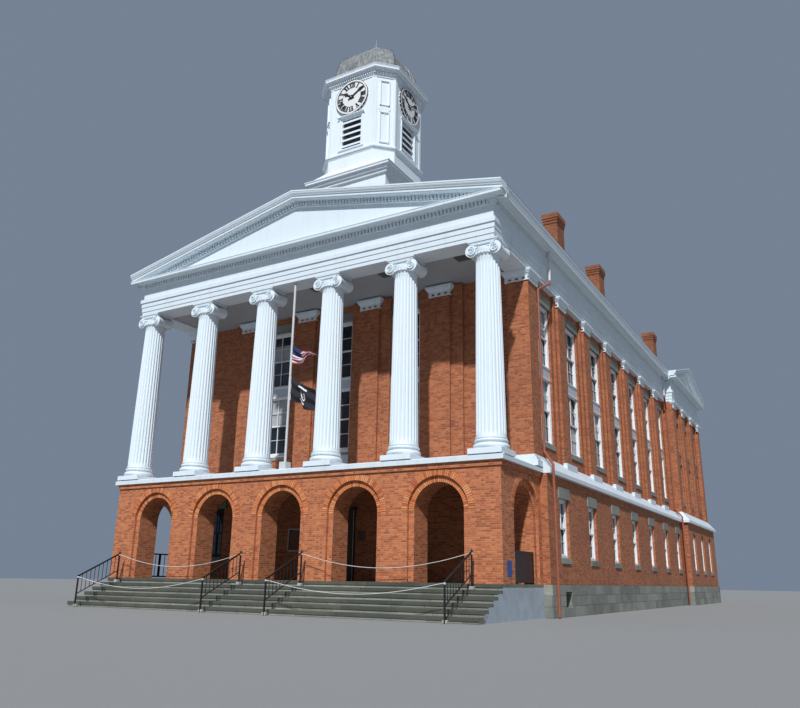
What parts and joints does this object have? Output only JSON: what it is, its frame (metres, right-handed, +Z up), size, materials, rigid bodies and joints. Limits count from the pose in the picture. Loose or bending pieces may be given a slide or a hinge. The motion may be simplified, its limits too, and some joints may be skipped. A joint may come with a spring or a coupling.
{
  "type": "courthouse building",
  "caption": "Brick courthouse with an arcaded porch, a columned portico under a pediment and a domed clock tower.",
  "frame": {"origin": "centre line of the front, at the arcade's brick face, on the lowest ground", "axes": "+X to the right along the front, +Y into the building's depth, +Z up"},
  "size_m": [18.8, 39.1375, 27.42],
  "materials": {
    "brick": "rough orange-red brick with thin joints",
    "bluestone": "split grey-green stone, weathered",
    "concrete": "worn stone steps",
    "white_trim": "white paint, satin",
    "tower_trim": "white paint, weathered",
    "roofing": "dull grey roofing",
    "dome_metal": "grey sheet metal with seams",
    "window_paint": "white paint",
    "glass": "dark clear glass",
    "floor_boards": "worn boards",
    "door_paint": "dark varnish",
    "dial": "white enamel",
    "hand_paint": "black paint",
    "black_iron": "black paint",
    "pole_paint": "white paint",
    "pipe_paint": "brown paint",
    "flag_cloth": "woven nylon",
    "rope": "white laid rope"
  },
  "bodies": {
    "building": {"arcade_front": "brick", "arcade_sides": "brick", "architrave": "white_trim", "attic_floor": "floor_boards", "belt_course": "white_trim", "chimneys": "brick", "clock_dials": "dial", "clock_stage": "tower_trim", "column_bases": "white_trim", "column_capitals": "white_trim", "column_shafts": "white_trim", "cornice": "white_trim", "dome": "dome_metal", "downspouts": "pipe_paint", "entrance": "white_trim", "entrance_doors": "door_paint", "flagpole": "pole_paint", "flags": "flag_cloth", "foundation": "bluestone", "frieze": "white_trim", "ground_floor": "floor_boards", "ground_wall_front": "brick", "ground_wall_left": "brick", "ground_wall_rear": "brick", "ground_wall_right": "brick", "ground_window_frames": "window_paint", "main_roof": "roofing", "pavilion_roof": "roofing", "pilaster_capitals": "white_trim", "porch_floor": "concrete", "portico_deck": "white_trim", "portico_soffit": "white_trim", "raking_cornices": "white_trim", "second_floor": "floor_boards", "side_arch_guards": "black_iron", "stair_base": "concrete", "stair_railings": "black_iron", "stair_ropes": "rope", "stair_treads": "concrete", "third_floor": "floor_boards", "tower_base": "tower_trim", "tower_cornice": "tower_trim", "tower_louvres": "tower_trim", "tower_plinth": "tower_trim", "tympana": "white_trim", "upper_wall_front": "brick", "upper_wall_left": "brick", "upper_wall_rear": "brick", "upper_wall_right": "brick", "upper_window_frames": "window_paint", "window_glass": "glass", "window_stones": "bluestone"},
    "front_minute_hand": {"clock_front_minute_hand": "hand_paint"},
    "front_hour_hand": {"clock_front_hour_hand": "hand_paint"},
    "right_minute_hand": {"clock_right_minute_hand": "hand_paint"},
    "right_hour_hand": {"clock_right_hour_hand": "hand_paint"},
    "rear_minute_hand": {"clock_rear_minute_hand": "hand_paint"},
    "rear_hour_hand": {"clock_rear_hour_hand": "hand_paint"},
    "left_minute_hand": {"clock_left_minute_hand": "hand_paint"},
    "left_hour_hand": {"clock_left_hour_hand": "hand_paint"}
  },
  "joints": [
    {"name": "front_minute_turn", "type": "hinge", "parent": "building", "child": "front_minute_hand", "pos_m": [0, 3.51, 22.75], "axis": [0, 1, 0], "continuous": true},
    {"name": "front_hour_turn", "type": "hinge", "parent": "building", "child": "front_hour_hand", "pos_m": [0, 3.51, 22.75], "axis": [0, 1, 0], "continuous": true},
    {"name": "right_minute_turn", "type": "hinge", "parent": "building", "child": "right_minute_hand", "pos_m": [1.92, 5.43, 22.75], "axis": [-1, 0, 0], "continuous": true},
    {"name": "right_hour_turn", "type": "hinge", "parent": "building", "child": "right_hour_hand", "pos_m": [1.92, 5.43, 22.75], "axis": [-1, 0, 0], "continuous": true},
    {"name": "rear_minute_turn", "type": "hinge", "parent": "building", "child": "rear_minute_hand", "pos_m": [0, 7.35, 22.75], "axis": [0, -1, 0], "continuous": true},
    {"name": "rear_hour_turn", "type": "hinge", "parent": "building", "child": "rear_hour_hand", "pos_m": [0, 7.35, 22.75], "axis": [0, -1, 0], "continuous": true},
    {"name": "left_minute_turn", "type": "hinge", "parent": "building", "child": "left_minute_hand", "pos_m": [-1.92, 5.43, 22.75], "axis": [1, 0, 0], "continuous": true},
    {"name": "left_hour_turn", "type": "hinge", "parent": "building", "child": "left_hour_hand", "pos_m": [-1.92, 5.43, 22.75], "axis": [1, 0, 0], "continuous": true}
  ],
  "couplings": [
    {"joint": "front_hour_turn", "follows": "front_minute_turn", "ratio": 0.083333},
    {"joint": "right_minute_turn", "follows": "front_minute_turn", "ratio": 1},
    {"joint": "right_hour_turn", "follows": "front_minute_turn", "ratio": 0.083333},
    {"joint": "rear_minute_turn", "follows": "front_minute_turn", "ratio": 1},
    {"joint": "rear_hour_turn", "follows": "front_minute_turn", "ratio": 0.083333},
    {"joint": "left_minute_turn", "follows": "front_minute_turn", "ratio": 1},
    {"joint": "left_hour_turn", "follows": "front_minute_turn", "ratio": 0.083333}
  ]
}
